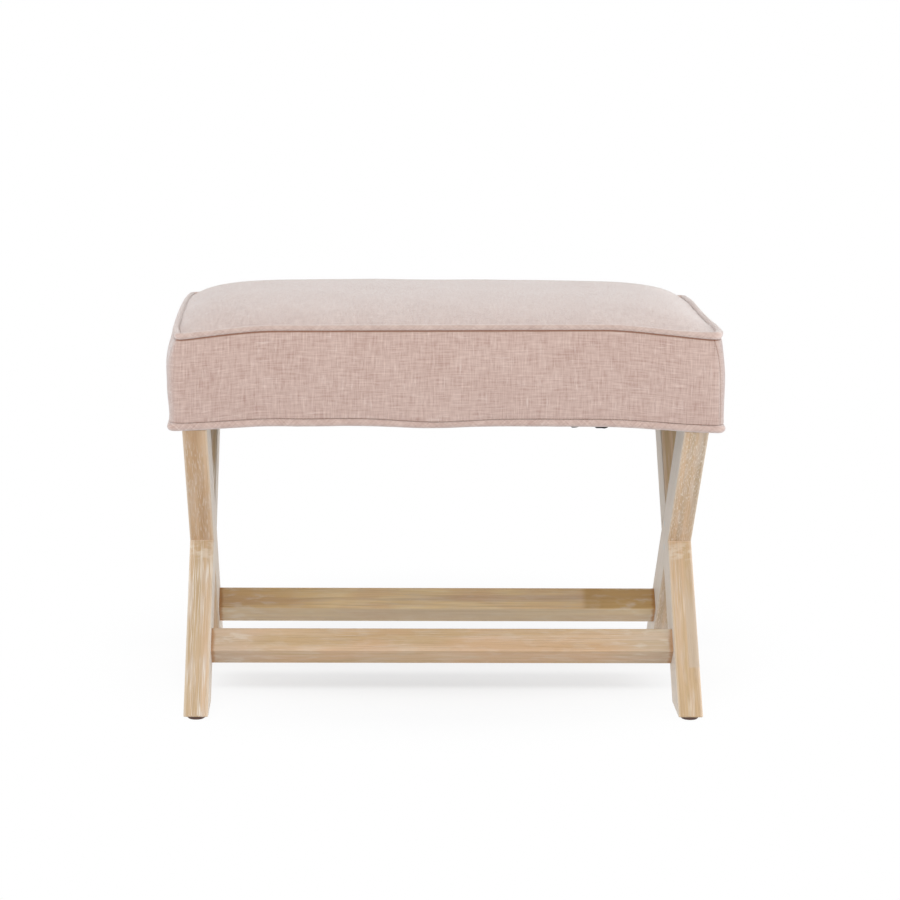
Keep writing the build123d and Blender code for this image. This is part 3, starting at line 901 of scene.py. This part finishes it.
def foam_block(material):
    """Foam on the deck, cut to the crown of the seat."""
    bm, rim = pad_mesh(cover_thickness + batting_thickness + 3 * layer_gap, deck_top + layer_gap)
    bmesh.ops.holes_fill(bm, edges=rim)
    bmesh.ops.recalc_face_normals(bm, faces=bm.faces)
    foam = add_piece("foam_block", bm, material)
    soften = foam.modifiers.new("soft_edges", "BEVEL")
    soften.width = foam_bevel
    soften.segments = 2
    soften.limit_method = "ANGLE"
    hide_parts("foam_pad")


def cut_corners(bm, notch):
    """Cuts the four corners of a sheet away, beyond this place in each."""
    for axis, place in ((0, notch.x), (0, -notch.x), (1, notch.y), (1, -notch.y)):
        normal = Vector((1 - axis, axis, 0))
        geometry = bm.verts[:] + bm.edges[:] + bm.faces[:]
        bmesh.ops.bisect_plane(bm, geom=geometry, plane_co=normal * place, plane_no=normal)
    cut = []
    for face in bm.faces:
        middle = face.calc_center_median()
        if abs(middle.x) > notch.x and abs(middle.y) > notch.y:
            cut.append(face)
    bmesh.ops.delete(bm, geom=cut, context="FACES")


def dust_drop(point, half):
    """How far the dust cloth hangs at a point: it sags, and two stretches of its front edge are loose."""
    belly = (1 - (point.x / half.x) ** 2) * (1 - (point.y / half.y) ** 2)
    ripple = 1 + dust_ripple * noise.noise(point / dust_ripple_size)
    flap = sum(drop * exp(-(((point.x - place) / width) ** 4)) for place, width, drop in loose_edges)
    frayed = flap * (1 + fray * sin(point.x / fray_size))
    return belly * dust_sag * ripple + frayed * ease(-point.y, half.y - loose_depth, half.y)


def dust_cloth(material):
    """Thin cloth stapled under the seat, cut out round the leg tops, with loose edges at the front."""
    low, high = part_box("dust_cover")
    notch = Vector((leg_low.x - leg_clear, leg_top_inner - leg_clear))
    columns, rows = dust_grid
    bm = bmesh.new()
    bmesh.ops.create_grid(bm, x_segments=columns, y_segments=rows, size=1)
    for vert in bm.verts:
        vert.co = (vert.co.x * high.x, vert.co.y * high.y, high.z)
    cut_corners(bm, notch)
    for vert in bm.verts:
        vert.co.z -= dust_drop(vert.co, high)
    cloth = add_piece("dust_cloth", bm, material)
    thicken(cloth, high.z - low.z)
    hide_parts("dust_cover")


def around(half, corner, share):
    """Point and outward direction at a share of the way round a rounded plan, from mid front."""
    front = half.x - corner
    end = 2 * (half.y - corner)
    bend = corner * pi / 2
    x, y, heading = 0.0, -half.y, 0.0
    left = share * (4 * front + 2 * end + 4 * bend)
    for straight in (front, end, 2 * front, end, front):
        step = min(left, straight)
        x += step * cos(heading)
        y += step * sin(heading)
        left -= step
        turn = min(left, bend) / corner
        x += corner * (sin(heading + turn) - sin(heading))
        y -= corner * (cos(heading + turn) - cos(heading))
        heading += turn
        left -= turn * corner
    return Vector((x, y, 0)), Vector((sin(heading), -cos(heading), 0))


def welt(name, half, middle_at, radius_at, material):
    """Covered cord sewn into a seam, with its cloth's map along and round it."""
    length = 4 * (half.x + half.y - 2 * seam_corner_radius) + 2 * pi * seam_corner_radius
    columns, rows = cord_grid
    bm = bmesh.new()
    uv = bm.loops.layers.uv.new("cloth")
    bmesh.ops.create_grid(bm, x_segments=columns, y_segments=rows, size=0.5)
    for face in bm.faces:
        for loop in face.loops:
            share = loop.vert.co.xy + Vector((0.5, 0.5))
            loop[uv].uv = (share.x * length, share.y * 2 * pi * bottom_cord_radius)
    for vert in bm.verts:
        plan, outward = around(half, seam_corner_radius, vert.co.x + 0.5)
        turn = 2 * pi * vert.co.y
        uneven = 1 + cord_uneven * noise.noise(plan / cord_uneven_size)
        radius = radius_at(plan.x, plan.y) * uneven
        vert.co = middle_at(plan.x, plan.y) + radius * (outward * cos(turn) + Vector((0, 0, sin(turn))))
    bmesh.ops.remove_doubles(bm, verts=bm.verts, dist=merge_distance)
    bmesh.ops.recalc_face_normals(bm, faces=bm.faces)
    return add_piece(name, bm, material)


def top_cord_middle(x, y):
    return Vector((x + seam_shift(x, y), y, seam_height(x, y)))


def bottom_cord_middle(x, y):
    return Vector((x + flared(x, 1.0), y, edge_height(x, y) - bottom_cord_size(x, y)))


def seen_directly(finish):
    """1 for what the camera sees itself, in a mirror or through glass."""
    camera = finish.node("ShaderNodeLightPath", output="Is Camera Ray")
    glossy = finish.node("ShaderNodeLightPath", output="Is Glossy Ray")
    through = finish.node("ShaderNodeLightPath", output="Is Transmission Ray")
    return camera.math("MINIMUM", camera + glossy + through, 1.0)


def floor_white():
    """White, with a share of pale paint that takes the shadow, most of it under the stretchers, where a
    band of less white is painted shadow.
    """
    pale = new_finish("floor_white")
    place = pale.place()
    spot = {0: place, 1: shadow_middle}
    away = pale.node("ShaderNodeVectorMath", {"operation": "DISTANCE"}, spot, "Value")
    aside = abs(pale.part(place, 0)).band(*streak_ends)
    painted_shadow_streak = (pale.part(place, 1) - streak_middle).line(streak_width) * (1 - aside)
    white = shadow_white + away.band(*shadow_reach) * (1 - shadow_white) - painted_shadow_streak * streak_depth
    matt = pale.node("ShaderNodeBsdfDiffuse", {}, {"Color": shade(242, 244, 247)})
    glow = pale.node("ShaderNodeEmission", {}, {"Color": shade(255, 255, 255), "Strength": 1.0})
    mixed = pale.node("ShaderNodeMixShader", {}, {0: seen_directly(pale) * white, 1: matt, 2: glow})
    pale.feed(pale.tree.nodes["Material Output"], {"Surface": mixed})
    return pale.owner


def stage_floor(material):
    bm = bmesh.new()
    bmesh.ops.create_circle(bm, cap_ends=True, segments=96, radius=floor_radius)
    mesh = bpy.data.meshes.new("floor")
    bm.to_mesh(mesh)
    bm.free()
    mesh.materials.append(material)
    floor = bpy.data.objects.new("floor", mesh)
    bpy.context.scene.collection.objects.link(floor)


def stage_world():
    """White background, which lights the object with the ambient share of its strength."""
    world = bpy.data.worlds.new("studio")
    bpy.context.scene.world = world
    sky = Finish(world)
    strength = seen_directly(sky) * (1 - ambient) + ambient
    sky.feed(sky.tree.nodes["Background"], {"Color": shade(255, 255, 255), "Strength": strength})


def stage_lamp(name, place, target, size, power):
    lamp = bpy.data.lights.new(name, "AREA")
    lamp.shape = "RECTANGLE"
    lamp.size, lamp.size_y = size
    lamp.energy = power
    holder = bpy.data.objects.new(name, lamp)
    bpy.context.scene.collection.objects.link(holder)
    aim = (Vector(target) - Vector(place)).to_track_quat("-Z", "Y")
    holder.matrix_world = Matrix.Translation(place) @ aim.to_matrix().to_4x4()


def stage_camera():
    camera = bpy.data.cameras.new("camera")
    camera.lens = camera_lens
    camera.sensor_fit = "HORIZONTAL"
    camera.sensor_width = camera_sensor
    holder = bpy.data.objects.new("camera", camera)
    bpy.context.scene.collection.objects.link(holder)
    turn = Matrix.Rotation(radians(-camera_yaw), 4, "Z")
    tilt = Matrix.Rotation(radians(90 - camera_pitch), 4, "X")
    roll = Matrix.Rotation(radians(camera_roll), 4, "Z")
    holder.matrix_world = Matrix.Translation(camera_place) @ turn @ tilt @ roll
    bpy.context.scene.camera = holder


def paint(material, *names):
    """Gives CAD nodes their finish."""
    for name in names:
        for held in nodes[name].material_slots:
            held.material = material


# Each lamp: its place, where it points, its size and its power in watts
lamps = {
    "key": ((-0.8, -2.4, 2.2), (0, 0, 0.3), (2.4, 1.6), 32),
    "fill": ((2.2, -1.8, 1.4), (0, 0, 0.3), (1.6, 1.6), 13),
    "over": ((0, 0.3, 2.8), (0, 0, 0.3), (2.0, 2.0), 7),
    "rear": ((0, 2.6, 1.3), (0, 0, 0.45), (3.0, 1.6), 12),
    "left": ((-2.6, 0.1, 0.7), (0, 0, 0.35), (1.6, 1.0), 11),
    "right": ((2.6, 0.1, 0.5), (0, 0, 0.35), (1.6, 0.8), 23),
}
stage_camera()
stage_floor(floor_white())
stage_world()
for name, setting in lamps.items():
    stage_lamp(name, *setting)

# Cover and cords, whose linen is cut on the bias
seat_cover(rose_linen("rose_linen"))
# Painted light: the cords' linen is lighter than the cover's, the top cord more so, for the sheen and
# light they lack
top_bias = rose_linen("top_cord_linen", radians(45), painted_light=0.22, sewn=False)
top_cord = welt("top_cord", seam_half, top_cord_middle, top_cord_size, top_bias)
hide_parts("top_welt")
bottom_bias = rose_linen("bottom_cord_linen", radians(45), painted_light=0.08, sewn=False)
bottom_cord = welt("bottom_cord", edge_half, bottom_cord_middle, bottom_cord_size, bottom_bias)
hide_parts("bottom_welt")

# Legs: the way that each leans, the origin of its grain, its tan, its lime, the dashes and the pale strip
legs = {
    "left_leg_front_foot": (-1, (0.1, 0.2, 0.05), (194, 168, 134), 1.0, 0.045, 0.0),
    "right_leg_front_foot": (-1, (0.6, 0.5, 0.35), (193, 165, 127), 0.45, 0.045, 0.6),
    "left_leg_rear_foot": (1, (0.3, 0.8, 0.15), (188, 152, 116), 0.45, 0.012, 0.0),
    "right_leg_rear_foot": (1, (0.9, 0.1, 0.75), (186, 163, 136), 0.8, 0.007, 0.0),
}
for name, look in legs.items():
    paint(leg_oak(name + "_oak", *look), name)

# Stretchers: the origin of the grain, the tan, the glue stain, the honey-coloured ends and the paler side
stretchers = {
    "front_stretcher": ((0.4, 0.3, 0.2), (196, 166, 127), 0.6, 0.0, 0.0),
    # The rear tan is far paler than the front's: partly a yellower board, partly painted light for the
    # shade under the seat
    "rear_stretcher": ((0.8, 0.7, 0.1), (232, 203, 156), 0.7, 1.0, 0.5),
}
for name, look in stretchers.items():
    paint(stretcher_oak(name + "_oak", *look), name)

# Inside of the seat, and hardware
pine = ((222, 196, 150), (196, 158, 106))
paint(plain_wood("pine_long_rail", *pine, along_x, 0.006), "front_rail", "rear_rail")
paint(plain_wood("pine_end_rail", *pine, along_y, 0.006), "left_rail", "right_rail", "centre_rail")
paint(plain_wood("pine_block", *pine, (0, 0, 0), 0.005), "corner_blocks")
paint(plain_wood("birch_ply", (220, 192, 150), (198, 164, 120), along_x, 0.012), "seat_deck")
beech = plain_wood("beech_dowel", (214, 176, 134), (188, 144, 100), along_x, 0.003)
paint(beech, "stretcher_dowels", "frame_dowels", "leg_dowels")
foam_block(grainy("seat_foam", (240, 228, 190), (222, 204, 156), 0.004, 0.9, 0.0006))
batting_wrap(grainy("batting_fibre", (246, 246, 244), (226, 226, 224), 0.008, 0.95, 0.0008))
brown = grainy("glide_brown", (104, 74, 60), (72, 50, 41), 0.003, 0.5, 0.0001)
paint(brown, *[f"{end}_{row}_glide" for end in ("left", "right") for row in ("front", "rear")])
zinc = grainy("zinc_steel", (206, 206, 202), (176, 176, 170), 0.004, 0.35, 0.00005, 1.0)
paint(zinc, "lap_screws", "leg_bolts", "leg_washers", "glide_nails", "corner_block_screws")
paint(zinc, "centre_rail_screws", "deck_screws", "dust_cover_staples")
dust_cloth(black_cambric())

bpy.context.scene.view_settings.view_transform = "Standard"
